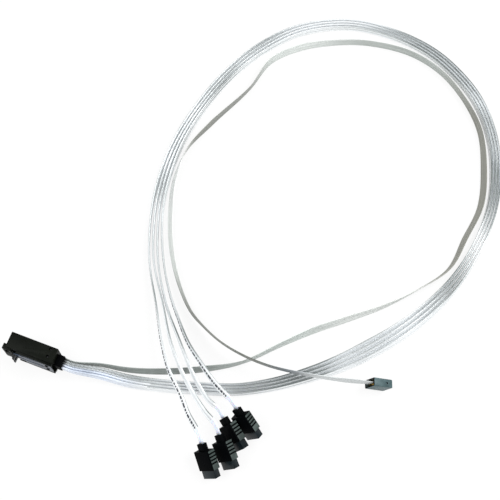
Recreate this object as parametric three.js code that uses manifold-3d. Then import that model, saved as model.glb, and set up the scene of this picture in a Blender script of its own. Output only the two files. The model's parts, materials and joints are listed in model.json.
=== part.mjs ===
// Breakout cable for disk drives: one wide 36-way plug, four flat lane ribbons that each end in a
// 7-way drive plug, and a thin 8-wire sideband ribbon that ends in a small 2 by 4 housing.
// Millimetres, +Z up. The origin is in the middle of the narrow side that the wide plug rests on,
// and +X runs from its mating end to the end that the ribbons leave.

import * as THREE from 'three';
import { mergeVertices } from 'three/addons/utils/BufferGeometryUtils.js';
import Module from 'manifold-3d';

const wasm = await Module();
wasm.setup();

// Fits shared by every plug
const fit = 0.3; // clearance round a piece that sits in another
const cordGap = 0.3; // between the end of a ribbon and the piece that it enters
const overcut = 1; // how far a cut runs past the face that it opens

// Wide plug: two shells that meet on the middle plane of its width
const plugLength = 35;
const plugThickness = 11.2;
const plugWidth = 22.4;
const shellWall = 1.5;
const hoodDepth = 9;
const hoodGap = 6;
const hoodSideWall = 2;
const cardWallLength = 2;
const rearWallLength = 2.2;

// Paddle card that the host socket takes
const cardLength = 15;
const cardWidth = 16.6;
const cardThickness = 1;
const cardInset = 1.5; // from the rim of the hood back to the card's edge
const cardEdgeChamfer = 0.3;

// Latch side: a raised frame round the recess of the latch, and a nose ahead of it
const frameRise = 1.7; // how far the frame and the nose stand out from the side
const frameInset = 1.2; // from the narrow sides of the plug
const noseReach = 2.3; // past the mating end
const noseLength = 6.3;
const hookGap = 4; // between the nose and the frame, where the hooks come out
const noseWindowWall = 1.5;
const noseWindowDepth = 1.6;

// Latch: a steel leaf with two arms, each with a hook
const latchDepth = 2.2; // from the side of the plug to the floor of the recess
const latchRail = 2.6; // from the narrow side of the plug to the recess
const latchThickness = 0.5;
const latchLength = 29;
const latchRearInset = 0.6;
const latchBridge = 6.5; // length of leaf that joins both arms
const latchArmGap = 2.4;
const latchEdgeGap = 1;
const latchStepLength = 8; // front length over which an arm is narrower
const latchStep = 2.6;
const hookHeight = 3.8;
const hookLength = 1.8;
const hookWidth = 3.6;
const latchPivotInset = 4.5; // from the rear face of the plug to the axis that the leaf bends about
const padLength = 3.4;
const padWidth = 5;
const rivetRadius = 0.8;
const rivetHeadRadius = 1.4;
const rivetHeadHeight = 0.35;
const rivetSpacing = 8;
const rivetDepth = 1;

// Pins that hold the two shells together, seen as two round holes in the upper side
const pinRadius = 0.85;
const pinInset = 4.9; // from the rear face
const pinFromCard = [2.6, -2.9];
const pinFloor = 0.9; // plastic left under a pin
const pinRecess = 1.2; // from the upper side down to the pin's end

// Moulding that holds the card and the stripped wires inside the shells
const mouldFromWall = 1.2;
const mouldThickness = 5;
const mouldWidth = 16;
const mouldEndGap = 0.5; // to the flange of the boot
const cardBite = 4; // length of card held in the moulding

// Boot where the ribbons leave the wide plug
const bootLength = 5;
const bootThickness = 8.4;
const bootWidth = 11.4;
const bootShift = 1.6; // from the card's plane towards the latch side
const bootChamfer = 0.8;
const neckThickness = 4.6;
const neckWidth = 10;
const flangeLength = 1.1;
const flangeThickness = 5.2;
const flangeWidth = 12.4;

// Flat ribbons: a lane holds two screened pairs, the sideband holds eight thin wires
const laneCount = 4;
const laneWidth = 5;
const laneThickness = 1.4;
const lanePitch = 1.7; // at the wide plug
const laneChamfer = 0.45;
const laneSteps = 78;
const sidebandWidth = 7.6;
const sidebandThickness = 0.8;
const sidebandChamfer = 0.25;
const sidebandSteps = 78;
const straightLead = 7; // straight stretch at each end of a ribbon
const leadLean = -8; // degrees that the lanes lean after it
const turnLength = 0.14; // last share of a ribbon, over which it turns to its plug

// Drive plug: housing, contact carrier and boot; its own +X runs from ribbon to mating end
const driveBootLength = 5;
const driveBootWidth = 6.2;
const driveBootThickness = 4.6;
const driveBootChamfer = 0.6;
const driveBodyLength = 13.5;
const driveBodyWidth = 14.6;
const driveBodyThickness = 7;
const driveBodyChamfer = 0.7;
const driveNoseLength = 6;
const driveNoseWidth = 11.8;
const driveNoseThickness = 5;
const pocketWidth = 10.4;
const pocketThickness = 4.4;
const pocketDepth = 9.4;
const keyholeWidth = 10.2; // long leg of the L-shaped opening
const keyholeThickness = 1.9;
const keyLegWidth = 1.6;
const keyLegHeight = 1.5;
const plugInLength = 3.2; // part of the boot that closes the back of the pocket
const contactCount = 7;
const contactPitch = 1.27;
const contactWidth = 0.6;
const contactThickness = 0.35;
const contactReach = 7.5; // how far a contact reaches into the opening
const gripCount = 4;
const gripPitch = 2.3;
const gripWidth = 1.1;
const gripDepth = 0.6;
const gripInset = 1.5; // from the rear face of the body to the first groove

// Sideband housing: 2 by 4 sockets
const sidebandHousing = { length: 15, width: 11.4, thickness: 5.8 };
const socketRows = 2;
const socketColumns = 4;
const socketPitch = 2.54;
const socketSize = 1.7;
const rearPocket = { depth: 5.6, width: 9, thickness: 4.2 };
const terminalInset = 2.6; // from the rear rim to the terminal block
const terminalSize = 1.1;
const terminalReach = 7;
const windowRadius = 0.8;
const windowDepth = 0.9;
const windowInset = 4.4; // from the mating end

// Where each plug lies: heading and pitch, nose down, and roll about its own axis, in degrees
const drivePlaces = [
  { x: 133.4, y: -18.7, heading: -50, pitch: 24, roll: 52 },
  { x: 142.0, y: -8.6, heading: -47, pitch: 20, roll: 54 },
  { x: 140.5, y: 3.4, heading: -37, pitch: 15, roll: 60 },
  { x: 147.0, y: 11.5, heading: -32, pitch: 30, roll: 60 },
];
const sidebandPlace = { x: 226, y: 62.6, heading: 21, pitch: 30, roll: 90 };

// Middle of the four lanes from the boot round the loop: x, y, z, the pitch between lanes, and by how
// many degrees each lane leans, its top away from the loop
const bundleRoute = [
  [48, 3, 7, 1.8, -20], [69, 6, 3.4, 2, -22], [90, 11, 2.6, 2.1, -15], [117, 19, 2.6, 2.2, -8],
  [142, 28, 2.6, 2.2, -5], [165, 41, 2.6, 2.3, -12], [185, 56, 2.6, 2.6, -20],
  [200, 69, 2.6, 3, -26], [217, 87, 2.6, 3.4, -28], [236, 111, 2.6, 3.2, -28],
  [252, 139, 2.6, 2.8, -20], [262, 167, 2.6, 2.4, -8], [267, 197, 2.6, 2.2, 0],
  [267, 225, 2.6, 2.2, 6], [261, 252, 2.6, 2.2, 10], [250, 278, 2.6, 2.2, 10],
  [231, 303, 2.6, 2.3, 5], [206, 321, 2.6, 2.4, 0], [182, 331, 2.6, 2.3, 0],
  [152, 335, 2.6, 2.2, 0], [118, 331, 2.6, 2.2, 4], [84, 313, 2.6, 2.3, 8],
  [62, 288, 2.6, 2.4, 10], [48, 262, 2.6, 2.3, 15], [38, 232, 2.6, 2.2, 18],
  [32, 200, 2.6, 2.2, 20], [31, 175, 2.6, 2.4, 18], [34, 147, 2.6, 2.6, 10], [40, 124, 2.8, 2.9, 0],
];

// The lanes part and each one goes over the others to its own plug
const laneTails = [
  [[47, 94, 4], [65, 64, 8], [81, 37, 11.5], [92, 22, 12.5], [107, 8, 12.5], [117, -3, 13.5]],
  [[50, 95, 4], [70, 65, 8], [85, 42, 11.5], [97, 28, 12.5], [111, 15, 12.5], [126, 3.6, 13]],
  [[53, 96, 4], [72, 66, 8], [91, 44, 11.5], [107, 27, 12.5], [117, 18, 12.5], [126, 11.5, 12.5]],
  [[57, 97, 4], [71, 75, 7], [85, 58, 10.5], [98, 44, 12.5], [111, 34, 14], [126, 23.5, 16.5]],
];

// The sideband runs inside the loop, and its end goes over its own start and over the lanes: x, y, z
// and the lean in degrees
const sidebandRoute = [
  [46, 8.4, 8, -5], [66, 13, 5, -15], [89, 21, 4, -20], [115, 33, 4, -20], [138, 47, 4, 0],
  [159, 69, 4, -10], [177, 87, 4, -22], [196, 103, 4, -20], [218, 122, 4, -5],
  [236, 142, 4, 12], [252.2, 165.4, 4, 20], [256, 192, 4, 30], [259, 220, 4, 30],
  [252, 251, 4, 26], [240, 279, 4, 15], [221, 300, 4, 5], [197, 316, 4, 3], [170, 323, 4, 3],
  [138, 320, 4, 3], [113, 311, 4, 4], [89, 297, 4, 14], [72, 278, 4, 10], [65.2, 250, 4, -6],
  [48.4, 211.3, 4, 5], [39.5, 185, 4, -8], [40, 160, 4, -28], [46.5, 136, 4, -30],
  [58, 109, 4, -26], [73, 86, 4, -18], [89, 69, 4.4, -8], [102, 61, 6.4, 0],
  [119, 53.5, 9.8, 5], [138, 49.5, 12.2, 8], [156, 49, 12.2, 10], [172, 51, 11.2, 10],
  [188, 54, 10.6, 6], [204, 57.4, 10.4, 0],
];

// Finishes
const blackPlastic = { color: 0x23272b, roughness: 0.45, metalness: 0 };
const darkPlastic = { color: 0x1a1d20, roughness: 0.6, metalness: 0 };
const latchSteel = { color: 0x4b5563, roughness: 0.35, metalness: 0.9 };
const pinSteel = { color: 0x2c2e30, roughness: 0.4, metalness: 0.9 };
const greenLaminate = { color: 0x1f5a3a, roughness: 0.4, metalness: 0 };
const amberMoulding = { color: 0xc9b071, roughness: 0.5, metalness: 0 };
const clearJacket = { color: 0xd5dade, roughness: 0.25, metalness: 0.1 };
const greyRibbon = { color: 0xa9adaf, roughness: 0.45, metalness: 0 };
const tealPlastic = { color: 0x48595c, roughness: 0.5, metalness: 0 };
const contactAlloy = { color: 0xc8a24a, roughness: 0.3, metalness: 1 };

const model = new THREE.Group();
const up = new THREE.Vector3(0, 0, 1);

// Solids from closed geometry, and back
function solid(geometry) {
  const bare = geometry.clone();
  for (const name of ['normal', 'uv']) bare.deleteAttribute(name);
  const merged = mergeVertices(bare, 1e-4);
  return new wasm.Manifold(new wasm.Mesh({
    numProp: 3,
    vertProperties: new Float32Array(merged.attributes.position.array),
    triVerts: new Uint32Array(merged.index.array),
  }));
}

function geometryOf(body) {
  const mesh = body.getMesh();
  const geometry = new THREE.BufferGeometry();
  geometry.setAttribute('position', new THREE.BufferAttribute(mesh.vertProperties, mesh.numProp));
  geometry.setIndex(new THREE.BufferAttribute(mesh.triVerts, 1));
  geometry.computeVertexNormals();
  return geometry;
}

// A block between two opposite corners
function block([x0, y0, z0], [x1, y1, z1]) {
  const geometry = new THREE.BoxGeometry(x1 - x0, y1 - y0, z1 - z0);
  geometry.translate((x0 + x1) / 2, (y0 + y1) / 2, (z0 + z1) / 2);
  return solid(geometry);
}

// A block from x0 to x1, centred on the line y, z
function bar(x0, x1, width, height, y = 0, z = 0) {
  return block([x0, y - width / 2, z - height / 2], [x1, y + width / 2, z + height / 2]);
}

// Outline of a rectangle with cut corners
function cutRectangle(width, height, chamfer) {
  const [a, b] = [width / 2, height / 2];
  return new THREE.Shape([
    [a - chamfer, -b], [a, -b + chamfer], [a, b - chamfer], [a - chamfer, b],
    [-a + chamfer, b], [-a, b - chamfer], [-a, -b + chamfer], [-a + chamfer, -b],
  ].map(([x, y]) => new THREE.Vector2(x, y)));
}

// A bar along +X whose four long edges are cut
function chamferedBar(x0, x1, width, height, chamfer, y = 0, z = 0) {
  const outline = cutRectangle(width, height, chamfer);
  const geometry = new THREE.ExtrudeGeometry(outline, { depth: x1 - x0, bevelEnabled: false });
  geometry.rotateY(Math.PI / 2).rotateX(Math.PI / 2).translate(x0, y, z);
  return solid(geometry);
}

// A round rod along Y or Z
function rod(radius, length, centre, axis) {
  const geometry = new THREE.CylinderGeometry(radius, radius, length, 20);
  if (axis === 'z') geometry.rotateX(Math.PI / 2);
  geometry.translate(...centre);
  return solid(geometry);
}

function join(...bodies) {
  return bodies.reduce((whole, body) => whole.add(body));
}

function cut(body, ...tools) {
  return tools.reduce((rest, tool) => rest.subtract(tool), body);
}

function add(name, geometry, finish, parent = model) {
  const mesh = new THREE.Mesh(geometry, new THREE.MeshStandardMaterial({ ...finish, name }));
  mesh.name = name;
  parent.add(mesh);
}

// Levels that the pieces of the wide plug share
const front = -plugLength / 2;
const rear = plugLength / 2;
const recessFloor = -plugThickness / 2 + latchDepth;
const chamberLow = recessFloor + shellWall;
const chamberHigh = plugThickness / 2 - shellWall;
const cardY = (chamberLow + chamberHigh) / 2;
const middleZ = plugWidth / 2;
const cardWallRear = front + hoodDepth + cardWallLength;
const chamberEnd = rear - rearWallLength;
const pivotX = rear - latchPivotInset;
const leafRear = rear - latchRearInset;
const leafFront = leafRear - latchLength;
const frameFace = -plugThickness / 2 - frameRise;
const noseTip = front - noseReach;
const noseEnd = noseTip + noseLength;
const leafOuter = frameFace;
const leafInner = leafOuter + latchThickness;
const bootEnd = rear + bootLength;
const bootY = cardY - bootShift;

// The chambers, slots and bores that both shells share
function plugCavities() {
  const hood = bar(front - overcut, front + hoodDepth, hoodGap, plugWidth - 2 * hoodSideWall, cardY, middleZ);
  const cardSlot = bar(front, cardWallRear + overcut, cardThickness + 2 * fit, cardWidth + 2 * fit,
    cardY, middleZ);
  const chamber = bar(cardWallRear, chamberEnd, chamberHigh - chamberLow, plugWidth - 2 * hoodSideWall,
    cardY, middleZ);
  const exit = bar(chamberEnd - overcut, rear + overcut, neckThickness + 2 * fit, neckWidth + 2 * fit,
    cardY, middleZ);
  const recess = block([noseEnd, frameFace - overcut, latchRail],
    [rear + overcut, recessFloor, plugWidth - latchRail]);
  const noseWindow = block([noseTip + noseWindowWall, frameFace - overcut, middleZ + noseWindowWall],
    [noseEnd - noseWindowWall, frameFace + noseWindowDepth, plugWidth - frameInset - noseWindowWall]);
  const bores = pinFromCard.map((y) => rod(pinRadius + fit, plugWidth + 2 * overcut,
    [rear - pinInset, cardY + y, pinFloor - fit + plugWidth / 2 + overcut], 'z'));
  return join(hood, cardSlot, chamber, exit, recess, noseWindow, ...bores);
}

// Each shell carries its half of the frame and the nose, and one pad that its rivet holds the leaf to
function shell(low, high, rivetZ) {
  const raisedLow = Math.max(low, frameInset);
  const raisedHigh = Math.min(high, plugWidth - frameInset);
  const outside = join(
    block([front, -plugThickness / 2, low], [rear, plugThickness / 2, high]),
    block([noseEnd + hookGap, frameFace, raisedLow], [rear, recessFloor, raisedHigh]),
    block([noseTip, frameFace, raisedLow], [noseEnd, recessFloor, raisedHigh]),
  );
  const pad = block([pivotX - padLength / 2, leafInner + fit, rivetZ - padWidth / 2],
    [pivotX + padLength / 2, recessFloor + fit, rivetZ + padWidth / 2]);
  const bore = rod(rivetRadius + fit, rivetDepth + overcut,
    [pivotX, leafInner + fit + rivetDepth / 2 - overcut / 2, rivetZ], 'y');
  return cut(join(cut(outside, plugCavities()), pad), bore);
}

const rivetLevels = [middleZ - rivetSpacing / 2, middleZ + rivetSpacing / 2];
add('plug_shell_lower', geometryOf(shell(0, middleZ - fit / 2, rivetLevels[0])), blackPlastic);
add('plug_shell_upper', geometryOf(shell(middleZ + fit / 2, plugWidth, rivetLevels[1])), blackPlastic);

pinFromCard.forEach((y, i) => {
  const length = plugWidth - pinRecess - pinFloor;
  const centre = [rear - pinInset, cardY + y, pinFloor + length / 2];
  add(`shell_pin_${i + 1}`, geometryOf(rod(pinRadius, length, centre, 'z')), pinSteel);
});

// The leading edge of the card is cut on both faces
function paddleCard() {
  const x0 = front + cardInset;
  const half = cardThickness / 2;
  const outline = new THREE.Shape([
    [x0, -half + cardEdgeChamfer], [x0 + 2 * cardEdgeChamfer, -half], [x0 + cardLength, -half],
    [x0 + cardLength, half], [x0 + 2 * cardEdgeChamfer, half], [x0, half - cardEdgeChamfer],
  ].map(([x, y]) => new THREE.Vector2(x, y)));
  const geometry = new THREE.ExtrudeGeometry(outline, { depth: cardWidth, bevelEnabled: false });
  return geometry.translate(0, cardY, middleZ - cardWidth / 2);
}
add('paddle_card', paddleCard(), greenLaminate);

// The moulding is grooved where the shell pins pass
function innerMoulding() {
  const cardEnd = front + cardInset + cardLength;
  const flangeFront = chamberEnd - fit - flangeLength;
  const whole = bar(cardEnd - cardBite, flangeFront - mouldEndGap, mouldThickness, mouldWidth,
    cardY, middleZ);
  const slot = bar(cardEnd - cardBite - overcut, cardEnd + fit, cardThickness + 2 * fit,
    cardWidth + 2 * fit, cardY, middleZ);
  const slotted = cut(whole, slot);
  const floor = bar(cardEnd + fit, cardEnd + mouldFromWall, mouldThickness, mouldWidth, cardY, middleZ);
  const grooves = pinFromCard.map((y) => rod(pinRadius + fit, plugWidth,
    [rear - pinInset, cardY + y, middleZ], 'z'));
  return cut(join(slotted, floor), ...grooves);
}
add('inner_moulding', geometryOf(innerMoulding()), amberMoulding);

// The boot is held by a flange inside the shells
function plugBoot() {
  const body = chamferedBar(rear + fit, bootEnd, bootThickness, bootWidth, bootChamfer, bootY, middleZ);
  const neck = bar(chamberEnd - fit - flangeLength, rear + overcut, neckThickness, neckWidth,
    cardY, middleZ);
  const flange = bar(chamberEnd - fit - flangeLength, chamberEnd - fit, flangeThickness, flangeWidth,
    cardY, middleZ);
  return join(body, neck, flange);
}
add('plug_boot', geometryOf(plugBoot()), darkPlastic);

// The leaf's two arms are joined at the rear, and each front end is folded out into a hook
function latchLeaf() {
  const lowEdge = latchRail + latchEdgeGap;
  const highEdge = plugWidth - latchRail - latchEdgeGap;
  const leaf = block([leafFront, leafOuter, lowEdge], [leafRear, leafInner, highEdge]);
  const between = block([leafFront - overcut, leafOuter - overcut, middleZ - latchArmGap / 2],
    [leafRear - latchBridge, leafInner + overcut, middleZ + latchArmGap / 2]);
  const steps = [[lowEdge - overcut, lowEdge + latchStep], [highEdge - latchStep, highEdge + overcut]]
    .map(([low, high]) => block([leafFront - overcut, leafOuter - overcut, low],
      [leafFront + latchStepLength, leafInner + overcut, high]));
  const holes = rivetLevels.map((z) => rod(rivetRadius + fit, 4 * latchThickness,
    [pivotX, (leafOuter + leafInner) / 2, z], 'y'));
  const hookMiddle = (middleZ + latchArmGap / 2 + highEdge - latchStep) / 2;
  const hooks = [hookMiddle, plugWidth - hookMiddle].map((z) => {
    const outline = new THREE.Shape([
      [leafFront, leafInner], [leafFront, leafOuter - hookHeight / 2],
      [leafFront + hookLength / 2, leafOuter - hookHeight],
      [leafFront + hookLength, leafOuter - hookHeight], [leafFront + hookLength, leafInner],
    ].map(([x, y]) => new THREE.Vector2(x, y)));
    const geometry = new THREE.ExtrudeGeometry(outline, { depth: hookWidth, bevelEnabled: false });
    return solid(geometry.translate(0, 0, z - hookWidth / 2));
  });
  return join(cut(leaf, between, ...steps, ...holes), ...hooks);
}
add('latch_leaf', geometryOf(latchLeaf()), latchSteel);

// A rivet's head stands clear of the leaf, so that the leaf can rock under it
rivetLevels.forEach((z, i) => {
  const headBase = leafOuter - fit;
  const tip = leafInner + fit + rivetDepth - fit;
  const shank = rod(rivetRadius, tip - headBase, [pivotX, (tip + headBase) / 2, z], 'y');
  const head = rod(rivetHeadRadius, rivetHeadHeight, [pivotX, headBase - rivetHeadHeight / 2, z], 'y');
  add(`latch_rivet_${i + 1}`, geometryOf(join(shank, head)), pinSteel);
});

// A group whose own +X points along the heading, nose down by the pitch, rolled about that axis
function placed(place, lowestOf) {
  const group = new THREE.Group();
  const degrees = THREE.MathUtils.degToRad;
  group.rotation.set(degrees(place.roll), degrees(place.pitch), degrees(place.heading), 'ZYX');
  const corners = lowestOf.map((corner) => new THREE.Vector3(...corner).applyEuler(group.rotation));
  const height = -Math.min(...corners.map((corner) => corner.z));
  group.position.set(place.x, place.y, height);
  group.updateMatrixWorld();
  model.add(group);
  return group;
}

// Corners of the rectangle across a plug at one distance from its ribbon
function ringCorners(x, width, thickness) {
  return [[1, 1], [1, -1], [-1, 1], [-1, -1]].map(([a, b]) => [x, a * width / 2, b * thickness / 2]);
}

// Levels that the pieces of a drive plug share
const bodyRear = driveBootLength;
const bodyFront = bodyRear + driveBodyLength;
const noseFront = bodyFront + driveNoseLength;
const pocketEnd = bodyRear + pocketDepth;

function driveHousing() {
  const body = chamferedBar(bodyRear, bodyFront, driveBodyWidth, driveBodyThickness, driveBodyChamfer);
  const nose = bar(bodyFront - overcut, noseFront, driveNoseWidth, driveNoseThickness);
  const pocket = bar(bodyRear - overcut, pocketEnd, pocketWidth, pocketThickness);
  const keyhole = bar(pocketEnd - overcut, noseFront + overcut, keyholeWidth, keyholeThickness);
  const legY = keyholeWidth / 2 - keyLegWidth / 2;
  const leg = block([pocketEnd - overcut, legY - keyLegWidth / 2, 0],
    [noseFront + overcut, legY + keyLegWidth / 2, keyholeThickness / 2 + keyLegHeight - overcut / 2]);
  const grips = [];
  for (let i = 0; i < gripCount; i++) {
    const x = bodyRear + gripInset + i * gripPitch;
    for (const side of [-1, 1]) {
      const y = side * driveBodyWidth / 2;
      grips.push(bar(x, x + gripWidth, 2 * gripDepth, driveBodyThickness + overcut, y));
    }
  }
  return cut(join(body, nose), pocket, keyhole, leg, ...grips);
}

// Seven contacts stand on one carrier and lie along the lower wall of the opening
function contactCarrier() {
  const start = bodyRear + plugInLength + fit;
  const end = pocketEnd - fit;
  const carrier = bar(start, end, pocketWidth - 2 * fit, pocketThickness - 2 * fit);
  const z = -keyholeThickness / 2 + fit + contactThickness / 2;
  const contacts = Array.from({ length: contactCount }, (_, i) => bar(end - overcut,
    end + contactReach, contactWidth, contactThickness, (i - (contactCount - 1) / 2) * contactPitch, z));
  return join(carrier, ...contacts);
}

function driveBoot() {
  const outer = chamferedBar(0, bodyRear + overcut / 2, driveBootWidth, driveBootThickness - 2 * fit,
    driveBootChamfer);
  const sleeve = chamferedBar(0, bodyRear - fit, driveBootWidth, driveBootThickness, driveBootChamfer);
  const plugIn = bar(bodyRear, bodyRear + plugInLength, pocketWidth - 2 * fit, pocketThickness - 2 * fit);
  return join(outer, sleeve, plugIn);
}

const driveShapes = [
  ['housing', geometryOf(driveHousing()), blackPlastic],
  ['contacts', geometryOf(contactCarrier()), contactAlloy],
  ['boot', geometryOf(driveBoot()), darkPlastic],
];
const driveLowest = [
  ...ringCorners(bodyFront, driveBodyWidth, driveBodyThickness),
  ...ringCorners(noseFront, driveNoseWidth, driveNoseThickness),
];
const drivePlugs = drivePlaces.map((place, i) => {
  const group = placed(place, driveLowest);
  for (const [name, geometry, finish] of driveShapes) {
    add(`drive_plug_${i + 1}_${name}`, geometry.clone(), finish, group);
  }
  return group;
});

// Sockets run from the mating face through to the pocket that the ribbon enters
function socketCentres() {
  const centres = [];
  for (let row = 0; row < socketRows; row++) {
    for (let column = 0; column < socketColumns; column++) {
      centres.push([(column - (socketColumns - 1) / 2) * socketPitch,
        (row - (socketRows - 1) / 2) * socketPitch]);
    }
  }
  return centres;
}

function sidebandShell() {
  const { length, width, thickness } = sidebandHousing;
  const whole = chamferedBar(0, length, width, thickness, 0.4);
  const pocket = bar(-overcut, rearPocket.depth, rearPocket.width, rearPocket.thickness);
  const sockets = socketCentres().map(([y, z]) => bar(rearPocket.depth - overcut, length + overcut,
    socketSize, socketSize, y, z));
  const opening = rod(windowRadius, 2 * windowDepth, [length - windowInset, width / 2, 0], 'y');
  return cut(whole, pocket, ...sockets, opening);
}

function terminalBlock() {
  const end = rearPocket.depth - fit;
  const carrier = bar(terminalInset, end, rearPocket.width - 2 * fit, rearPocket.thickness - 2 * fit);
  const terminals = socketCentres().map(([y, z]) => bar(end - overcut, end + terminalReach,
    terminalSize, terminalSize, y, z));
  return join(carrier, ...terminals);
}

const sidebandLowest = ringCorners(sidebandHousing.length, sidebandHousing.width,
  sidebandHousing.thickness);
const sidebandPlug = placed(sidebandPlace, sidebandLowest);
add('sideband_housing', geometryOf(sidebandShell()), tealPlastic, sidebandPlug);
add('sideband_terminals', geometryOf(terminalBlock()), contactAlloy, sidebandPlug);

// A ribbon stands on its edge, leans by the degrees given at its points, and turns to the width of
// its plug over its last stretch
class RibbonRoute extends THREE.CatmullRomCurve3 {
  constructor(points, leans, plugWidthDirection) {
    super(points);
    this.leans = leans;
    this.endWidth = plugWidthDirection;
  }

  leanAt(share) {
    const place = this.getUtoTmapping(share) * (this.points.length - 1);
    const i = Math.min(Math.floor(place), this.points.length - 2);
    return THREE.MathUtils.degToRad(THREE.MathUtils.lerp(this.leans[i], this.leans[i + 1], place - i));
  }

  computeFrenetFrames(steps) {
    const frames = { tangents: [], normals: [], binormals: [] };
    for (let i = 0; i <= steps; i++) {
      const share = i / steps;
      const tangent = this.getTangentAt(share);
      const turn = THREE.MathUtils.smoothstep(share, 1 - turnLength, 1);
      const across = up.clone().applyAxisAngle(tangent, this.leanAt(share)).lerp(this.endWidth, turn);
      across.addScaledVector(tangent, -across.dot(tangent)).normalize();
      frames.tangents.push(tangent);
      frames.normals.push(across.clone().cross(tangent));
      frames.binormals.push(across);
    }
    return frames;
  }
}

// The last points of a ribbon lie on the axis of its plug
function ribbon(name, points, plug, endDepth, width, thickness, chamfer, steps, finish) {
  const axisPoint = (x) => new THREE.Vector3(x, 0, 0).applyMatrix4(plug.matrixWorld);
  const across = new THREE.Vector3(0, 1, 0).transformDirection(plug.matrixWorld);
  const route = new RibbonRoute([
    ...points.map(([x, y, z]) => new THREE.Vector3(x, y, z)),
    axisPoint(endDepth - cordGap - straightLead),
    axisPoint(endDepth - cordGap),
  ], [...points.map(([, , , lean = 0]) => lean), 0, 0], across);
  const section = cutRectangle(thickness, width, chamfer);
  const geometry = new THREE.ExtrudeGeometry(section, { steps, extrudePath: route });
  add(name, geometry, finish);
}

// The stack of ribbons is centred on the boot, with the sideband on the inner side of the loop
const stackWidth = (laneCount - 1) * lanePitch + laneThickness + fit + sidebandThickness;
const bundleY = bootY - (fit + sidebandThickness) / 2;
const sidebandY = bootY + stackWidth / 2 - sidebandThickness / 2;
const cordStart = bootEnd + cordGap;
const bundle = [
  [cordStart, bundleY, middleZ, lanePitch, 0],
  [cordStart + straightLead, bundleY, middleZ, lanePitch, leadLean],
  ...bundleRoute,
];

// One lane keeps its place across the bundle, counted from the outer side of the loop
function laneInBundle(lane) {
  return bundle.map(([x, y, z, pitch, lean], i) => {
    const before = bundle[Math.max(i - 1, 0)];
    const after = bundle[Math.min(i + 1, bundle.length - 1)];
    const along = new THREE.Vector2(after[0] - before[0], after[1] - before[1]).normalize();
    const offset = (lane - (laneCount - 1) / 2) * pitch;
    return [x - along.y * offset, y + along.x * offset, z, lean];
  });
}

for (let lane = 0; lane < laneCount; lane++) {
  ribbon(`lane_ribbon_${lane + 1}`, [...laneInBundle(lane), ...laneTails[lane]], drivePlugs[lane], 0,
    laneWidth, laneThickness, laneChamfer, laneSteps, clearJacket);
}

ribbon('sideband_ribbon', [
  [cordStart, sidebandY, middleZ],
  [cordStart + straightLead, sidebandY, middleZ],
  ...sidebandRoute,
], sidebandPlug, terminalInset, sidebandWidth, sidebandThickness, sidebandChamfer, sidebandSteps,
greyRibbon);

export default model;
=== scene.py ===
import json
import math

import bpy
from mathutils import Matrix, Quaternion, Vector


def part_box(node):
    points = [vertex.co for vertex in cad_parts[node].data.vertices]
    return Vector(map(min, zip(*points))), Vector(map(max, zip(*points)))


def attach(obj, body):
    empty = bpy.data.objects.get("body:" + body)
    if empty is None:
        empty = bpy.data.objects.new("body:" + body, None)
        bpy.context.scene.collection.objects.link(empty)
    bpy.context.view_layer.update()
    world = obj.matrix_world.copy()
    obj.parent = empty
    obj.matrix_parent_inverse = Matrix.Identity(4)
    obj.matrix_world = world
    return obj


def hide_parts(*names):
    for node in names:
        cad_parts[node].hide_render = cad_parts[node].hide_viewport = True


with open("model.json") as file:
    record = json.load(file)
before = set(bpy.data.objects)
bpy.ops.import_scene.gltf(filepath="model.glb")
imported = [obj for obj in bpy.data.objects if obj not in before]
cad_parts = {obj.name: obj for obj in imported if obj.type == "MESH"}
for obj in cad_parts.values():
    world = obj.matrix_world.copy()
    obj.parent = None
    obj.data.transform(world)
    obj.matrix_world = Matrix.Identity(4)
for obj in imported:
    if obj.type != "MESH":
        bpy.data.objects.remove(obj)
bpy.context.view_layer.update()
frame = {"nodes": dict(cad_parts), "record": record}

bpy.context.scene.view_settings.view_transform = "Standard"

# Camera
# The cable is seen from above and a little from the latch side of the wide plug,
# turned so that the plug's length falls to the right.
photo_width = 500
focal_length_in_pixels = 1176
azimuth = math.radians(21)
elevation = math.radians(70)
camera_distance = 0.86
aim = Vector((0.112, 0.1285, 0))

bpy.ops.object.camera_add()
camera = bpy.context.object
camera.data.sensor_width = 36
camera.data.lens = focal_length_in_pixels / photo_width * camera.data.sensor_width
camera.data.clip_start = 0.01
away = Vector((math.sin(azimuth) * math.cos(elevation), -math.cos(azimuth) * math.cos(elevation),
               math.sin(elevation)))
camera.location = aim + away * camera_distance
camera.rotation_euler = (math.pi / 2 - elevation, 0, azimuth)
bpy.context.scene.camera = camera

# Lane ribbons
# Four flat ribbons of two screened pairs each: silver foil wound under a clear jacket. They stand
# on edge side by side, and near its drive plug each jacket ends and the white pairs go on alone.
lane_width = 0.005
lane_thickness = 0.0014
lane_step = 0.0022
strip_length = 0.0105
cord_start = 0.0228
plug_middle_z = 0.0112
straight_lead = 0.007
bundle_start_y = -0.00105
lane_pitch_at_plug = 0.0017
turn_share = 0.14

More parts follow.
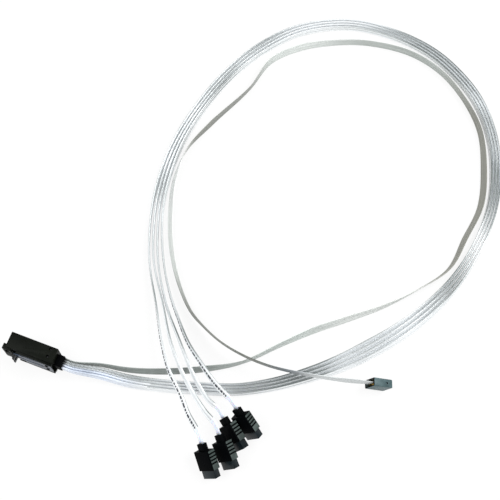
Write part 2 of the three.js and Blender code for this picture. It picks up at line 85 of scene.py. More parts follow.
# Middle of the four lanes: x, y, z, the pitch between lanes, and by how many degrees each lane
# leans, its top away from the loop
bundle_route = [
    (cord_start, bundle_start_y, plug_middle_z, lane_pitch_at_plug, 0),
    (cord_start + straight_lead, bundle_start_y, plug_middle_z, lane_pitch_at_plug, -8),
    (0.048, 0.003, 0.007, 0.0018, -20), (0.069, 0.006, 0.0034, 0.002, -22),
    (0.090, 0.011, 0.0026, 0.0021, -15), (0.117, 0.019, 0.0026, 0.0022, -8),
    (0.142, 0.028, 0.0026, 0.0022, -5), (0.165, 0.041, 0.0026, 0.0023, -12),
    (0.185, 0.056, 0.0026, 0.0026, -20), (0.200, 0.069, 0.0026, 0.003, -26),
    (0.217, 0.087, 0.0026, 0.0034, -28), (0.236, 0.111, 0.0026, 0.0032, -28),
    (0.252, 0.139, 0.0026, 0.0028, -20), (0.262, 0.167, 0.0026, 0.0024, -8),
    (0.267, 0.197, 0.0026, 0.0022, 0), (0.267, 0.225, 0.0026, 0.0022, 6),
    (0.261, 0.252, 0.0026, 0.0022, 10), (0.250, 0.278, 0.0026, 0.0022, 10),
    (0.231, 0.303, 0.0026, 0.0023, 5), (0.206, 0.321, 0.0026, 0.0024, 0),
    (0.182, 0.331, 0.0026, 0.0023, 0), (0.152, 0.335, 0.0026, 0.0022, 0),
    (0.118, 0.331, 0.0026, 0.0022, 4), (0.084, 0.313, 0.0026, 0.0023, 8),
    (0.062, 0.288, 0.0026, 0.0024, 10), (0.048, 0.262, 0.0026, 0.0023, 15),
    (0.038, 0.232, 0.0026, 0.0022, 18), (0.032, 0.200, 0.0026, 0.0022, 20),
    (0.031, 0.175, 0.0026, 0.0024, 18), (0.034, 0.147, 0.0026, 0.0026, 10),
    (0.040, 0.124, 0.0028, 0.0029, 0),
]

# Each lane's own way to its plug, with the last two points on the plug's axis
lane_tails = [
    [(0.047, 0.094, 0.004), (0.065, 0.064, 0.008), (0.081, 0.037, 0.0115), (0.092, 0.022, 0.0125),
     (0.107, 0.008, 0.0125), (0.117, -0.003, 0.0135),
     (0.12911, -0.01359, 0.01859), (0.13322, -0.01849, 0.01574)],
    [(0.050, 0.095, 0.004), (0.070, 0.065, 0.008), (0.085, 0.042, 0.0115), (0.097, 0.028, 0.0125),
     (0.111, 0.015, 0.0125), (0.126, 0.0036, 0.013),
     (0.13732, -0.00358, 0.01674), (0.14181, -0.00839, 0.01435)],
    [(0.053, 0.096, 0.004), (0.072, 0.066, 0.008), (0.091, 0.044, 0.0115), (0.107, 0.027, 0.0125),
     (0.117, 0.018, 0.0125), (0.126, 0.0115, 0.0125),
     (0.13487, 0.00764, 0.01447), (0.14027, 0.00357, 0.01266)],
    [(0.057, 0.097, 0.004), (0.071, 0.075, 0.007), (0.085, 0.058, 0.0105), (0.098, 0.044, 0.0125),
     (0.111, 0.034, 0.014), (0.126, 0.0235, 0.0165),
     (0.14164, 0.01485, 0.02141), (0.14678, 0.01164, 0.01791)],
]
# The width of each drive plug, which the end of its ribbon turns to
drive_across = [(0.6776, 0.1502, 0.7199), (0.6186, 0.1985, 0.7602),
                (0.4799, 0.2644, 0.8365), (0.6322, 0.1946, 0.7500)]


def to_linear(hex_colour):
    """Turns an sRGB hex colour to the linear colour that a shader reads."""
    channels = [int(hex_colour[i:i + 2], 16) / 255 for i in (1, 3, 5)]
    linear = [c / 12.92 if c <= 0.04045 else ((c + 0.055) / 1.055) ** 2.4 for c in channels]
    return (*linear, 1)


def add_node(tree, kind, settings=None, links=None):
    """Adds one node, with its settings, and with links from other nodes' sockets to its inputs."""
    node = tree.nodes.new(kind)
    for name, value in (settings or {}).items():
        if isinstance(name, str) and hasattr(node, name):
            setattr(node, name, value)
        else:
            node.inputs[name].default_value = value
    for name, socket in (links or {}).items():
        tree.links.new(socket, node.inputs[name])
    return node


def new_material(name, colour, roughness, metallic=0.0):
    """A named material with the constants on the shader's own sockets."""
    material = bpy.data.materials.new(name)
    material.use_nodes = True
    shader = material.node_tree.nodes["Principled BSDF"]
    shader.inputs["Base Color"].default_value = to_linear(colour)
    shader.inputs["Roughness"].default_value = roughness
    shader.inputs["Metallic"].default_value = metallic
    return material, material.node_tree, shader


def two_tones(tree, factor, low, low_colour, high, high_colour):
    """A colour ramp that runs from one colour at the low value to another at the high value."""
    ramp = add_node(tree, "ShaderNodeValToRGB", links={"Fac": factor})
    first, last = ramp.color_ramp.elements
    first.position = low
    first.color = to_linear(low_colour)
    last.position = high
    last.color = to_linear(high_colour)
    return ramp


def stretched_noise(tree, vector, scale, detail):
    """Noise that the three scales draw out into lines."""
    stretched = add_node(tree, "ShaderNodeMapping", {"Scale": scale}, {"Vector": vector})
    return add_node(tree, "ShaderNodeTexNoise", {"Scale": 1.0, "Detail": detail},
                    {"Vector": stretched.outputs["Vector"]})


def add_relief(tree, shader, height, strength, distance):
    """Raises the surface slightly where the height is more."""
    relief = add_node(tree, "ShaderNodeBump", {"Strength": strength, "Distance": distance},
                      {"Height": height})
    tree.links.new(relief.outputs["Normal"], shader.inputs["Normal"])


def spline_through(points, step):
    """A centripetal curve through the points, sampled about one step apart, with the lean in
    degrees at each sample. A point is x, y, z and, where it isn't nought, the lean."""
    leans = [math.radians(p[3]) if len(p) == 4 else 0 for p in points]
    points = [Vector(p[:3]) for p in points]
    ends = [points[0] * 2 - points[1], *points, points[-1] * 2 - points[-2]]
    samples, sample_leans = [], []
    for k, (p0, p1, p2, p3) in enumerate(zip(ends, ends[1:], ends[2:], ends[3:])):
        t1 = math.sqrt((p1 - p0).length)
        t2 = t1 + math.sqrt((p2 - p1).length)
        t3 = t2 + math.sqrt((p3 - p2).length)
        count = max(2, round((p2 - p1).length / step))
        for i in range(count):
            t = t1 + (t2 - t1) * i / count
            a1 = p0 * ((t1 - t) / t1) + p1 * (t / t1)
            a2 = p1 * ((t2 - t) / (t2 - t1)) + p2 * ((t - t1) / (t2 - t1))
            a3 = p2 * ((t3 - t) / (t3 - t2)) + p3 * ((t - t2) / (t3 - t2))
            b1 = a1 * ((t2 - t) / t2) + a2 * (t / t2)
            b2 = a2 * ((t3 - t) / (t3 - t1)) + a3 * ((t - t1) / (t3 - t1))
            samples.append(b1 * ((t2 - t) / (t2 - t1)) + b2 * ((t - t1) / (t2 - t1)))
            sample_leans.append(leans[k] + (leans[k + 1] - leans[k]) * i / count)
    return [*samples, points[-1]], [*sample_leans, leans[-1]]


def distances_along(path):
    """The distance from the start at each point of a path."""
    total = [0.0]
    for before, after in zip(path, path[1:]):
        total.append(total[-1] + (after - before).length)
    return total


def ribbon_mesh(name, path, widths, section_at, slot_at):
    """Joins one section after another along the path. A section point is (across, through), and
    the UV map holds the distance along and across the ribbon in metres."""
    along = distances_along(path)
    vertices, faces, uvs, slots = [], [], [], []
    sections = [section_at(s) for s in along]
    around = len(sections[0])
    for i, centre in enumerate(path):
        tangent = (path[min(i + 1, len(path) - 1)] - path[max(i - 1, 0)]).normalized()
        across = (widths[i] - tangent * widths[i].dot(tangent)).normalized()
        through = across.cross(tangent)
        vertices += [centre + across * a + through * t for a, t in sections[i]]
    for i in range(len(path) - 1):
        for k in range(around):
            m = (k + 1) % around
            faces.append((i * around + m, i * around + k, (i + 1) * around + k, (i + 1) * around + m))
            uvs += [(along[i], sections[i][m][0]), (along[i], sections[i][k][0]),
                    (along[i + 1], sections[i + 1][k][0]), (along[i + 1], sections[i + 1][m][0])]
            slots.append(slot_at((along[i] + along[i + 1]) / 2))
    for i, order in ((0, 1), (len(path) - 1, -1)):
        faces.append([i * around + k for k in range(around)][::order])
        uvs += [(along[i], sections[i][k][0]) for k in range(around)][::order]
        slots.append(slot_at(along[i]))
    mesh = bpy.data.meshes.new(name)
    mesh.from_pydata(vertices, [], faces)
    layer = mesh.uv_layers.new(name="along_and_across")
    for item, uv in zip(layer.data, uvs):
        item.uv = uv
    for polygon, slot in zip(mesh.polygons, slots):
        polygon.material_index = slot
        polygon.use_smooth = len(polygon.vertices) == 4
    piece = bpy.data.objects.new(name, mesh)
    bpy.context.collection.objects.link(piece)
    return piece


def lane_points(lane):
    """One lane's place across the bundle, counted from the outer side of the loop, then its tail."""
    points = []
    for i, (x, y, z, pitch, lean) in enumerate(bundle_route):
        before = bundle_route[max(i - 1, 0)]
        after = bundle_route[min(i + 1, len(bundle_route) - 1)]
        along = Vector((after[0] - before[0], after[1] - before[1])).normalized()
        offset = (lane - 1.5) * pitch
        points.append((x - along.y * offset, y + along.x * offset, z, lean))
    return points + lane_tails[lane]


def widths_along(path, leans, end_across):
    """The ribbon stands on edge, leans, and turns to the width of its plug over its last stretch."""
    along = distances_along(path)
    widths = []
    for i, s in enumerate(along):
        tangent = path[min(i + 1, len(path) - 1)] - path[max(i - 1, 0)]
        t = min(max((s / along[-1] - 1 + turn_share) / turn_share, 0), 1)
        t = t * t * (3 - 2 * t)
        leaning = Quaternion(tangent.normalized(), leans[i]) @ Vector((0, 0, 1))
        widths.append(leaning.lerp(Vector(end_across), t))
    return widths


lobe_fullness = 0.6
rim_share = 0.55
rim_slope = 3


def lobed_section(width, thickness, lobes, valley, per_lobe=6):
    """A flat section whose two faces swell over each wire and dip to the valley between them."""
    side = []
    count = lobes * per_lobe
    for i in range(count + 1):
        a = -width / 2 + width * i / count
        swell = abs(math.sin(math.pi * lobes * i / count)) ** lobe_fullness
        rim = min(1, rim_share + rim_slope * min(i, count - i) / count)
        side.append((a, thickness / 2 * (valley + (1 - valley) * swell) * rim))
    return [(a, -t) for a, t in side] + [(a, t) for a, t in side[::-1]]


# The jacket shows its four wires, and the bare lane its two pairs, which are slimmer
bare_share = 0.86
jacket_section = lobed_section(lane_width, lane_thickness, 4, 0.78)
pair_section = lobed_section(lane_width * bare_share, lane_thickness * bare_share, 2, 0.25, per_lobe=12)

# PVC jacket over wound foil: clear and glossy, it shows silver lines along the wires
# and the slanted edges of the foil
foil, tree, shader = new_material("clear PVC over silver foil", "#c9d1d8", 0.3, 0.35)
shader.inputs["Coat Weight"].default_value = 0.5
shader.inputs["Coat Roughness"].default_value = 0.12
uv = add_node(tree, "ShaderNodeUVMap", {"uv_map": "along_and_across"})
parts = add_node(tree, "ShaderNodeSeparateXYZ", links={"Vector": uv.outputs["UV"]})
line_pitch = 0.0025
lines = add_node(tree, "ShaderNodeMath", {"operation": "MULTIPLY", 1: 2 * math.pi / line_pitch},
                 {0: parts.outputs["Y"]})
line_wave = add_node(tree, "ShaderNodeMath", {"operation": "COSINE"}, {0: lines.outputs[0]})
foil_pitch = 0.0029
foil_slant = 1.6
slant = add_node(tree, "ShaderNodeMath", {"operation": "MULTIPLY_ADD", 1: foil_slant},
                 {0: parts.outputs["Y"], 2: parts.outputs["X"]})
turns = add_node(tree, "ShaderNodeMath", {"operation": "MULTIPLY", 1: 1 / foil_pitch},
                 {0: slant.outputs[0]})
turn = add_node(tree, "ShaderNodeMath", {"operation": "FRACT"}, {0: turns.outputs[0]})
turn_edge = add_node(tree, "ShaderNodeMapRange", {"From Min": 0.86, "From Max": 1.0},
                     {"Value": turn.outputs[0]})
brushing = stretched_noise(tree, uv.outputs["UV"], (14, 1400, 1), 1.5)
tone = add_node(tree, "ShaderNodeMath", {"operation": "MULTIPLY_ADD", 1: -0.2},
                {0: line_wave.outputs[0], 2: brushing.outputs["Fac"]})
foil_strength = add_node(tree, "ShaderNodeMapRange",
                         {"From Min": 0.03, "From Max": 0.08, "To Min": -0.34, "To Max": -0.02},
                         {"Value": parts.outputs["X"]})
# Along the loop the silver shows through more in some stretches than in others
place = add_node(tree, "ShaderNodeTexCoord")
stretches = add_node(tree, "ShaderNodeTexNoise", {"Scale": 16.0, "Detail": 1.0},
                     {"Vector": place.outputs["Object"]})
tone = add_node(tree, "ShaderNodeMath", {"operation": "MULTIPLY_ADD", 1: 0.55},
                {0: stretches.outputs["Fac"], 2: tone.outputs[0]})
tone = add_node(tree, "ShaderNodeMath", {"operation": "SUBTRACT", 1: 0.26}, {0: tone.outputs[0]})
foil_dark = add_node(tree, "ShaderNodeMath", {"operation": "MULTIPLY"},
                     {0: turn_edge.outputs[0], 1: foil_strength.outputs[0]})
darker = add_node(tree, "ShaderNodeMath", {"operation": "ADD"},
                  {0: foil_dark.outputs[0], 1: tone.outputs[0]})
ramp = two_tones(tree, darker.outputs[0], 0.16, "#6f7675", 0.5, "#f3f6f8")
middle = ramp.color_ramp.elements.new(0.34)
middle.color = to_linear("#ccd1d2")
tree.links.new(ramp.outputs["Color"], shader.inputs["Base Color"])
add_relief(tree, shader, darker.outputs[0], 0.15, 0.0001)

# Foamed polyethylene round the bare pairs: bluish white, slightly waxy
pairs, tree, shader = new_material("bluish white polyethylene", "#dfe8fb", 0.4)
shader.inputs["Subsurface Weight"].default_value = 0.15
shader.inputs["Subsurface Scale"].default_value = 0.002
uv = add_node(tree, "ShaderNodeUVMap", {"uv_map": "along_and_across"})
mottle = stretched_noise(tree, uv.outputs["UV"], (300, 3000, 1), 2.0)
ramp = two_tones(tree, mottle.outputs["Fac"], 0, "#d5dff2", 1, "#f4f8ff")
tree.links.new(ramp.outputs["Color"], shader.inputs["Base Color"])

# Near the wide plug the two outer lanes show their white pairs under the jacket, which fade to
# silver further on
white_length = 0.062
white_lanes = 2
bluish, tree, shader = new_material("clear PVC over white polyethylene", "#ccd4e2", 0.3)
shader.inputs["Coat Weight"].default_value = 0.4
shader.inputs["Coat Roughness"].default_value = 0.12
uv = add_node(tree, "ShaderNodeUVMap", {"uv_map": "along_and_across"})
streaks = stretched_noise(tree, uv.outputs["UV"], (45, 1500, 1), 2.0)
ramp = two_tones(tree, streaks.outputs["Fac"], 0.3, "#a6b0c0", 0.55, "#dde5f2")
parts = add_node(tree, "ShaderNodeSeparateXYZ", links={"Vector": uv.outputs["UV"]})
fade = add_node(tree, "ShaderNodeMapRange", {"From Min": white_length / 2, "From Max": white_length},
                {"Value": parts.outputs["X"]})
faded = add_node(tree, "ShaderNodeMix", {"data_type": "RGBA", 7: to_linear("#e2e5e6")},
                 {0: fade.outputs[0], 6: ramp.outputs["Color"]})
tree.links.new(faded.outputs[2], shader.inputs["Base Color"])


def jacket_slot(s, lane, end):
    """0 is foil under the jacket, 1 the bare pairs near the drive plug, 2 white under the jacket."""
    if s >= end:
        return 1
    return 2 if lane < white_lanes and s < white_length else 0


lanes = []
for lane in range(4):
    path, leans = spline_through(lane_points(lane), lane_step)
    length = distances_along(path)[-1]
    stripped_from = length - strip_length
    widths = widths_along(path, leans, drive_across[lane])
    piece = ribbon_mesh(
        f"lane_{lane + 1}_jacket", path, widths,
        lambda s, end=stripped_from: jacket_section if s < end else pair_section,
        lambda s, lane=lane, end=stripped_from: jacket_slot(s, lane, end))
    for material in (foil, pairs, bluish):
        piece.data.materials.append(material)
    lanes.append((piece, path, widths, length))

# Printed marks
# Ink along the broad face of the first and the last lane, near the drive plugs. They are plain
# dashes of uneven length, a few hundredths of a millimetre proud of the jacket.
dash_width = 0.0016
dash_lift = 0.00006
dash_foot = 0.42  # of the lane's thickness, where a dash's lower side lies inside the jacket
dash_bend = 0.0008  # the length over which a dash stays straight
dash_lengths = [0.0022, 0.0012, 0.0034, 0.0016, 0.0009, 0.0027, 0.0014]
dash_gap = 0.001
printed_length = 0.15

ink, tree, shader = new_material("dark blue-grey printing ink", "#1d212b", 0.5)
grain = add_node(tree, "ShaderNodeTexNoise", {"Scale": 2500.0})
ramp = two_tones(tree, grain.outputs["Fac"], 0, "#10131a", 1, "#2f3544")
tree.links.new(ramp.outputs["Color"], shader.inputs["Base Color"])


def printed_marks(name, path, widths):
    """Short curved plates that lie on the upper face of a lane, from near the plug back up the tail."""
    along = distances_along(path)

    def frame_at(s):
        i = max(1, min(len(path) - 2, next(k for k, d in enumerate(along) if d >= s)))
        share = (s - along[i - 1]) / (along[i] - along[i - 1])
        centre = path[i - 1].lerp(path[i], share)
        tangent = (path[i] - path[i - 1]).normalized()
        width = widths[i]
        across = (width - tangent * width.dot(tangent)).normalized()
        return centre, across, tangent.cross(across)

    vertices, faces = [], []
    s = along[-1] - strip_length - printed_length
    last = along[-1] - strip_length - dash_gap
    count = 0
    while s < last:
        length = dash_lengths[count % len(dash_lengths)]
        start = len(vertices)
        steps = max(1, round(length / dash_bend))
        for k in range(steps + 1):
            centre, across, out = frame_at(min(s + length * k / steps, last))
            for a in (-dash_width / 2, dash_width / 2):
                for lift in (lane_thickness * dash_foot, lane_thickness / 2 + dash_lift):
                    vertices.append(centre + across * a + out * lift)
        for k in range(steps):
            a = start + 4 * k
            faces += [(a + 1, a + 3, a + 7, a + 5), (a, a + 4, a + 6, a + 2),
                      (a, a + 1, a + 5, a + 4), (a + 2, a + 6, a + 7, a + 3)]
        end = start + 4 * steps
        faces += [(start, start + 2, start + 3, start + 1), (end, end + 1, end + 3, end + 2)]
        s += length + dash_gap
        count += 1
    mesh = bpy.data.meshes.new(name)
    mesh.from_pydata(vertices, [], faces)
    piece = bpy.data.objects.new(name, mesh)
    bpy.context.collection.objects.link(piece)
    recalculate_outward(piece)
    piece.data.materials.append(ink)
    return piece


def only(piece):
    """Leaves one piece selected and active."""
    if bpy.context.object and bpy.context.object.mode != "OBJECT":
        bpy.ops.object.mode_set(mode="OBJECT")
    bpy.ops.object.select_all(action="DESELECT")
    piece.select_set(True)
    bpy.context.view_layer.objects.active = piece


def recalculate_outward(piece):
    """Merges points that lie together and turns every face outward."""
    only(piece)
    bpy.ops.object.mode_set(mode="EDIT")
    bpy.ops.mesh.select_all(action="SELECT")
    bpy.ops.mesh.remove_doubles(threshold=1e-7)
    bpy.ops.mesh.normals_make_consistent(inside=False)
    bpy.ops.object.mode_set(mode="OBJECT")


marks = {}
for lane in (0, 3):
    marks[lane] = printed_marks(f"lane_{lane + 1}_printed_marks", lanes[lane][1], lanes[lane][2])

# Sideband ribbon
# Eight thin wires side by side in one grey PVC web, so that both faces are ribbed. It stands on
# edge inside the loop, rolls a little where it bends, and ends over its own start.
sideband_width = 0.0076
sideband_wires = 8
sideband_thickness = 0.0008
sideband_step = 0.0022
sideband_route = [
    (0.0228, 0.0029, 0.0112, 0), (0.0298, 0.0029, 0.0112, 0), (0.046, 0.0084, 0.008, -5),
    (0.066, 0.013, 0.005, -15), (0.089, 0.021, 0.004, -20), (0.115, 0.033, 0.004, -20),
    (0.138, 0.047, 0.004, 0), (0.159, 0.069, 0.004, -10), (0.177, 0.087, 0.004, -22),
    (0.196, 0.103, 0.004, -20), (0.218, 0.122, 0.004, -5), (0.236, 0.142, 0.004, 12),
    (0.2522, 0.1654, 0.004, 20), (0.256, 0.192, 0.004, 30), (0.259, 0.220, 0.004, 30),
    (0.252, 0.251, 0.004, 26), (0.240, 0.279, 0.004, 15), (0.221, 0.300, 0.004, 5),
    (0.197, 0.316, 0.004, 3), (0.170, 0.323, 0.004, 3), (0.138, 0.320, 0.004, 3),
    (0.113, 0.311, 0.004, 4), (0.089, 0.297, 0.004, 14), (0.072, 0.278, 0.004, 10),
    (0.0652, 0.250, 0.004, -6), (0.0484, 0.2113, 0.004, 5), (0.0395, 0.185, 0.004, -8),
    (0.040, 0.160, 0.004, -28), (0.0465, 0.136, 0.004, -30), (0.058, 0.109, 0.004, -26),
    (0.073, 0.086, 0.004, -18), (0.089, 0.069, 0.0044, -8), (0.102, 0.061, 0.0064, 0),
    (0.119, 0.0535, 0.0098, 5), (0.138, 0.0495, 0.0122, 8), (0.156, 0.049, 0.0122, 10),
    (0.172, 0.051, 0.0112, 10), (0.188, 0.054, 0.0106, 6), (0.204, 0.0574, 0.0104, 0),
    (0.2222, 0.06114, 0.01479, 0), (0.22786, 0.06331, 0.01129, 0),
]
sideband_across = (0.4668, 0.1792, 0.8660)

grey_pvc, tree, shader = new_material("ribbed grey PVC ribbon", "#b2b5b4", 0.38)
shader.inputs["Coat Weight"].default_value = 0.25
shader.inputs["Coat Roughness"].default_value = 0.2
uv = add_node(tree, "ShaderNodeUVMap", {"uv_map": "along_and_across"})
parts = add_node(tree, "ShaderNodeSeparateXYZ", links={"Vector": uv.outputs["UV"]})
wire_pitch = sideband_width / sideband_wires
wires = add_node(tree, "ShaderNodeMath", {"operation": "MULTIPLY", 1: 2 * math.pi / wire_pitch},
                 {0: parts.outputs["Y"]})
wire_wave = add_node(tree, "ShaderNodeMath", {"operation": "COSINE"}, {0: wires.outputs[0]})
brushing = stretched_noise(tree, uv.outputs["UV"], (25, 2600, 1), 4.0)
tone = add_node(tree, "ShaderNodeMath", {"operation": "MULTIPLY_ADD", 1: 0.13},
                {0: wire_wave.outputs[0], 2: brushing.outputs["Fac"]})
ramp = two_tones(tree, tone.outputs[0], 0.28, "#b6b9b7", 0.7, "#f2f4f3")
# Painted light and shade along the web, paler where it faces the lamps and greyer where it
# turns away: distance along in metres, and tone
painted_light_tones = [(0.0, "#b0b6b3"), (0.09, "#a4aaa7"), (0.13, "#d8dfdb"), (0.17, "#e9efec"),
             (0.2, "#f7f9f7"), (0.25, "#f2f4f1"), (0.285, "#9b9a91"), (0.42, "#97968e"),
             (0.47, "#bfc4c1"), (0.53, "#cdd2cf"), (0.565, "#f3f6f4"), (0.6, "#eef2f0"),
             (0.635, "#9c9d98"), (0.695, "#95968f"), (0.72, "#ffffff"), (0.8, "#f2f5f2"),
             (0.835, "#8f908a"), (0.9, "#84867f"), (0.92, "#8a9098"), (0.945, "#eef1f3")]
web = add_node(tree, "ShaderNodeValToRGB", links={"Fac": parts.outputs["X"]})
for position, colour in painted_light_tones[2:]:
    web.color_ramp.elements.new(position)
for element, (position, colour) in zip(web.color_ramp.elements, painted_light_tones):
    element.position = position
    element.color = to_linear(colour)
mixed = add_node(tree, "ShaderNodeMix", {"data_type": "RGBA", "blend_type": "MULTIPLY", 0: 1.0},
                 {6: ramp.outputs["Color"], 7: web.outputs["Color"]})
tree.links.new(mixed.outputs[2], shader.inputs["Base Color"])

sideband_path, leans = spline_through(sideband_route, sideband_step)
ribbed_section = lobed_section(sideband_width, sideband_thickness, sideband_wires, 0.6, per_lobe=4)
sideband = ribbon_mesh("sideband_ribbon_web", sideband_path,
                       widths_along(sideband_path, leans, sideband_across),
                       lambda s: ribbed_section, lambda s: 0)
sideband.data.materials.append(grey_pvc)

# Stage
# A plain white table that keeps a faint shadow, and plain soft light from above.
table_size = 6
table_middle = (0.1, 0.15, -0.0002)
plain_share = 0.87  # how much of the table's white is its own, past the shadows
surround = 0.55
bpy.ops.object.select_all(action="DESELECT")
bpy.ops.mesh.primitive_plane_add(size=table_size, location=table_middle)
floor = bpy.context.object
floor.name = "table_top"
white = bpy.data.materials.new("white table")
white.use_nodes = True
tree = white.node_tree
tree.nodes.clear()
lit = add_node(tree, "ShaderNodeBsdfDiffuse", {"Color": (0.86, 0.86, 0.86, 1)})
plain = add_node(tree, "ShaderNodeEmission", {"Color": (1, 1, 1, 1), "Strength": 1.0})
ray = add_node(tree, "ShaderNodeLightPath")
seen = add_node(tree, "ShaderNodeMath", {"operation": "MAXIMUM"},
                {0: ray.outputs["Is Camera Ray"], 1: ray.outputs["Is Glossy Ray"]})
seen = add_node(tree, "ShaderNodeMath", {"operation": "MAXIMUM"},
                {0: seen.outputs[0], 1: ray.outputs["Is Transmission Ray"]})
share = add_node(tree, "ShaderNodeMath", {"operation": "MULTIPLY", 1: plain_share},
                 {0: seen.outputs[0]})
mix = add_node(tree, "ShaderNodeMixShader", links={"Fac": share.outputs[0]})
tree.links.new(lit.outputs[0], mix.inputs[1])
tree.links.new(plain.outputs[0], mix.inputs[2])
out = add_node(tree, "ShaderNodeOutputMaterial", links={"Surface": mix.outputs[0]})
floor.data.materials.append(white)

world = bpy.data.worlds.new("studio") if not bpy.context.scene.world else bpy.context.scene.world
bpy.context.scene.world = world
world.use_nodes = True
background = world.node_tree.nodes["Background"]
background.inputs["Color"].default_value = (1, 1, 1, 1)
world_ray = add_node(world.node_tree, "ShaderNodeLightPath")
white_to_camera = add_node(world.node_tree, "ShaderNodeMath",
                           {"operation": "MULTIPLY_ADD", 1: 1 - surround, 2: surround},
                           {0: world_ray.outputs["Is Camera Ray"]})
world.node_tree.links.new(white_to_camera.outputs[0], background.inputs["Strength"])

soft_boxes = [("key_light", (0.75, 0.55, 0.9), 0.7, 11), ("fill_light", (-0.5, -0.3, 0.9), 0.8, 7.5)]
for name, place, size, power in soft_boxes:
    bpy.ops.object.light_add(type="AREA", location=place)
    lamp = bpy.context.object
    lamp.name = name
    lamp.data.size = size
    lamp.data.energy = power
    lamp.rotation_euler = (aim - lamp.location).to_track_quat("-Z", "Y").to_euler()

# Wide plug
# Two black glass-filled nylon shells meet along the middle of the wide sides, round a paddle card
# and its moulding. The edges of mouldings are slightly rounded, so each copy of a solid gets them.
nylon_edge = 0.00022
edge_segments = 2


def rounded_copy(node, edge_radius, material, body="cable"):
    """A copy of a solid, merged and with its edges rounded, that stands for the solid."""
    piece = bpy.data.objects.new(f"{node}_finished", frame["nodes"][node].data.copy())
    bpy.context.collection.objects.link(piece)
    piece.data.materials.clear()
    piece.data.materials.append(material)
    only(piece)
    bpy.ops.object.mode_set(mode="EDIT")
    bpy.ops.mesh.select_all(action="SELECT")
    bpy.ops.mesh.remove_doubles(threshold=1e-6)
    bpy.ops.mesh.dissolve_limited(angle_limit=math.radians(1))
    bpy.ops.object.mode_set(mode="OBJECT")
    bevel = piece.modifiers.new("rounded edges", "BEVEL")
    bevel.width = edge_radius
    bevel.segments = edge_segments
    bevel.limit_method = "ANGLE"
    bevel.angle_limit = math.radians(28)
    bpy.ops.object.modifier_apply(modifier=bevel.name)
    bpy.ops.object.shade_smooth_by_angle(angle=math.radians(32))
    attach(piece, body)
    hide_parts(node)
    return piece


def moulded_plastic(name, colour, lighter, roughness, grain_size, grain_height, gloss=0.2):
    """Moulded plastic: a fine spark-eroded grain and a slight drift of tone."""
    material, tree, shader = new_material(name, colour, roughness)
    shader.inputs["Specular IOR Level"].default_value = gloss
    place = add_node(tree, "ShaderNodeTexCoord")
    drift = add_node(tree, "ShaderNodeTexNoise", {"Scale": 120.0, "Detail": 3.0},
                     {"Vector": place.outputs["Object"]})
    ramp = two_tones(tree, drift.outputs["Fac"], 0.35, colour, 0.7, lighter)
    tree.links.new(ramp.outputs["Color"], shader.inputs["Base Color"])
    grain = add_node(tree, "ShaderNodeTexNoise", {"Scale": 1 / grain_size, "Detail": 2.0},
                     {"Vector": place.outputs["Object"]})
    add_relief(tree, shader, grain.outputs["Fac"], 0.6, grain_height)
    return material


shell_nylon = moulded_plastic("moulded black nylon", "#090c08", "#11140f", 0.5, 0.0004, 0.00002, 0.07)
boot_rubber = moulded_plastic("matt black overmoulding", "#030405", "#07080a", 0.6, 0.0005, 0.00003, 0.03)
for node in ("plug_shell_lower", "plug_shell_upper"):
    rounded_copy(node, nylon_edge, shell_nylon)
rounded_copy("plug_boot", 0.0003, boot_rubber)


def brushed_metal(name, colour, lighter, roughness, stretch, metallic=1.0):
    """Drawn or rolled metal: fine lines along one direction."""
    material, tree, shader = new_material(name, colour, roughness, metallic)
    place = add_node(tree, "ShaderNodeTexCoord")
    brushing = stretched_noise(tree, place.outputs["Object"], stretch, 4.0)
    ramp = two_tones(tree, brushing.outputs["Fac"], 0.3, colour, 0.7, lighter)
    tree.links.new(ramp.outputs["Color"], shader.inputs["Base Color"])
    add_relief(tree, shader, brushing.outputs["Fac"], 0.3, 0.00001)
    return material


# Latch, rivets and shell pins
# The latch is one leaf of blue-grey rolled spring steel with a hook at the end of each arm. Two
# blackened rivets hold it, and two blackened pins close the shells.
hook_length = 0.0021
rolled_steel = brushed_metal("rolled spring steel", "#2c3441", "#465162", 0.34, (150, 3000, 3000))
dark_steel = brushed_metal("dark steel", "#0c0d0e", "#1b1d1f", 0.45, (2500, 2500, 2500), 0.6)
leaf = rounded_copy("latch_leaf", 0.0001, rolled_steel, body="latch")
# The hooks, over the leaf's last 2.1 mm, take the dark steel instead of the blue-grey.
leaf.data.materials.append(dark_steel)
hook_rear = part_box("latch_leaf")[0].x + hook_length
for polygon in leaf.data.polygons:
    polygon.material_index = 1 if polygon.center.x < hook_rear else 0
for node in ("latch_rivet_1", "latch_rivet_2", "shell_pin_1", "shell_pin_2"):
    rounded_copy(node, 0.0001, dark_steel)

# Paddle card
# A small green glass-epoxy card with gold-plated pads in a row on both faces, held at the back in
# an amber hot-melt moulding.
pads_per_face = 18
pad_pitch = 0.0008
pad_size = (0.0034, 0.00004, 0.00048)
pad_inset = 0.0009
card_low, card_high = (Vector(corner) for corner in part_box("paddle_card"))

laminate = moulded_plastic("green glass-epoxy laminate", "#14462c", "#1d5c3b", 0.3, 0.0006, 0.00001)
amber = moulded_plastic("amber hot-melt moulding", "#a88a45", "#c9ae6c", 0.45, 0.001, 0.00004)
gold = brushed_metal("gold-plated copper", "#c79a3e", "#e9c877", 0.25, (800, 2500, 2500))
rounded_copy("paddle_card", 0.00005, laminate)
rounded_copy("inner_moulding", 0.0002, amber)

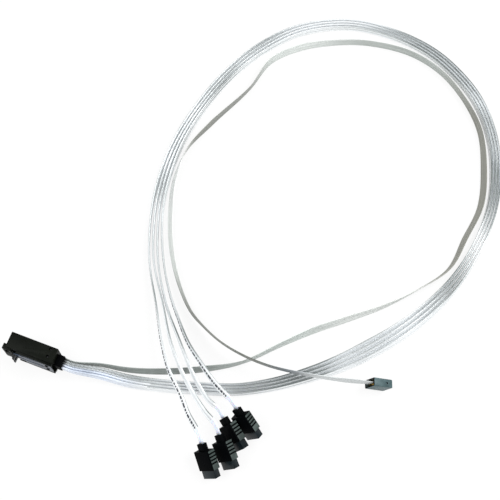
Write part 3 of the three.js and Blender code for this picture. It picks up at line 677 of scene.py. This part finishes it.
bpy.ops.object.select_all(action="DESELECT")
pad_x = card_low.x + pad_inset + pad_size[0] / 2
first_z = (card_low.z + card_high.z) / 2 - (pads_per_face - 1) / 2 * pad_pitch
bpy.ops.mesh.primitive_cube_add(size=1, location=(pad_x, card_high.y + pad_size[1] / 2, first_z),
                                scale=pad_size)
pads = bpy.context.object
pads.name = "paddle_card_pads"
bpy.ops.object.transform_apply(location=True, rotation=True, scale=True)
rows = pads.modifiers.new("row", "ARRAY")
rows.count = pads_per_face
rows.use_relative_offset = False
rows.use_constant_offset = True
rows.constant_offset_displace = (0, 0, pad_pitch)
faces_apart = pads.modifiers.new("both faces", "ARRAY")
faces_apart.count = 2
faces_apart.use_relative_offset = False
faces_apart.use_constant_offset = True
faces_apart.constant_offset_displace = (0, card_low.y - card_high.y - pad_size[1], 0)
for modifier in list(pads.modifiers):
    bpy.ops.object.modifier_apply(modifier=modifier.name)
pads.data.materials.append(gold)
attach(pads, "cable")

# Drive plugs
# Four black polyester housings with ribbed grips on the narrow sides, a black overmoulded boot
# at the back and seven gold-plated contacts along one wall of the L-shaped opening.
# The housing's own black, made darker still as painted shade on the broad faces.
housing_polyester = moulded_plastic("moulded black polyester", "#020304", "#050608", 0.5, 0.0004, 0.00002,
                                    0.02)
# The grip material paints the narrow ribbed sides lighter grey as lit from above, on a housing that is
# black all over.
painted_lit_grip_polyester = moulded_plastic("grey-black polyester grips with painted light", "#2f3836", "#4d5855", 0.55, 0.0003,
                                 0.00004)
nose_polyester = moulded_plastic("polished black polyester", "#0c1417", "#162126", 0.25, 0.0008,
                                 0.00001, 0.18)
groove_floor = (0.0063, 0.0071)  # how far the floors of the grooves lie from the middle
nose_length = 0.006
facing = 0.9


def nose_and_painted_lit_sides(piece, number):
    """The narrow sides of a housing, but not the floors of its grooves, are painted lighter grey as lit,
    and its nose is smoother than the rest."""
    mount = next(m for m in frame["record"]["mounts"] if m["name"] == f"drive_end_{number}")
    end, axis = Vector(mount["pos_m"]), Vector(mount["axis"])
    across = Vector(drive_across[number - 1])
    low, high = (Vector(corner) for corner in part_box(f"drive_plug_{number}_boot"))
    middle = (low + high) / 2
    for polygon in piece.data.polygons:
        sideways = abs((polygon.center - middle).dot(across))
        if (polygon.center - end).dot(axis) > -nose_length:
            polygon.material_index = 2
        elif abs(polygon.normal.dot(across)) > facing and not groove_floor[0] < sideways < groove_floor[1]:
            polygon.material_index = 1


for number in range(1, 5):
    housing = rounded_copy(f"drive_plug_{number}_housing", nylon_edge, housing_polyester)
    housing.data.materials.append(painted_lit_grip_polyester)
    housing.data.materials.append(nose_polyester)
    nose_and_painted_lit_sides(housing, number)
    rounded_copy(f"drive_plug_{number}_boot", 0.00025, boot_rubber)
    rounded_copy(f"drive_plug_{number}_contacts", 0.00005, gold)

# Sideband housing
# A dark grey-green nylon housing with eight square sockets, a row of gold-plated terminals
# inside, and the ribbon pushed in at its back. Its back is painted black as shade.
painted_shade_facing = 0.5
grey_green = moulded_plastic("grey-green nylon", "#3d5053", "#566c6f", 0.42, 0.0004, 0.00002)
sideband_housing = rounded_copy("sideband_housing", 0.00018, grey_green)
# The black overmoulding on the faces turned to the back is painted shade on the grey-green housing.
sideband_housing.data.materials.append(boot_rubber)
rear_way = (Vector(sideband_path[-2]) - Vector(sideband_path[-1])).normalized()
for polygon in sideband_housing.data.polygons:
    if polygon.normal.dot(rear_way) > painted_shade_facing:
        polygon.material_index = 1
sideband_pieces = [
    sideband_housing,
    rounded_copy("sideband_terminals", 0.00005, gold),
]

# Ribbons
# Each lane, its printing and the sideband ribbon go on the cable's body, in place of the
# ribbons from the part file, which are hidden.
for lane, (piece, path, widths, length) in enumerate(lanes):
    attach(piece, "cable")
    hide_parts(f"lane_ribbon_{lane + 1}")
for piece in marks.values():
    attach(piece, "cable")
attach(sideband, "cable")
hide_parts("sideband_ribbon")
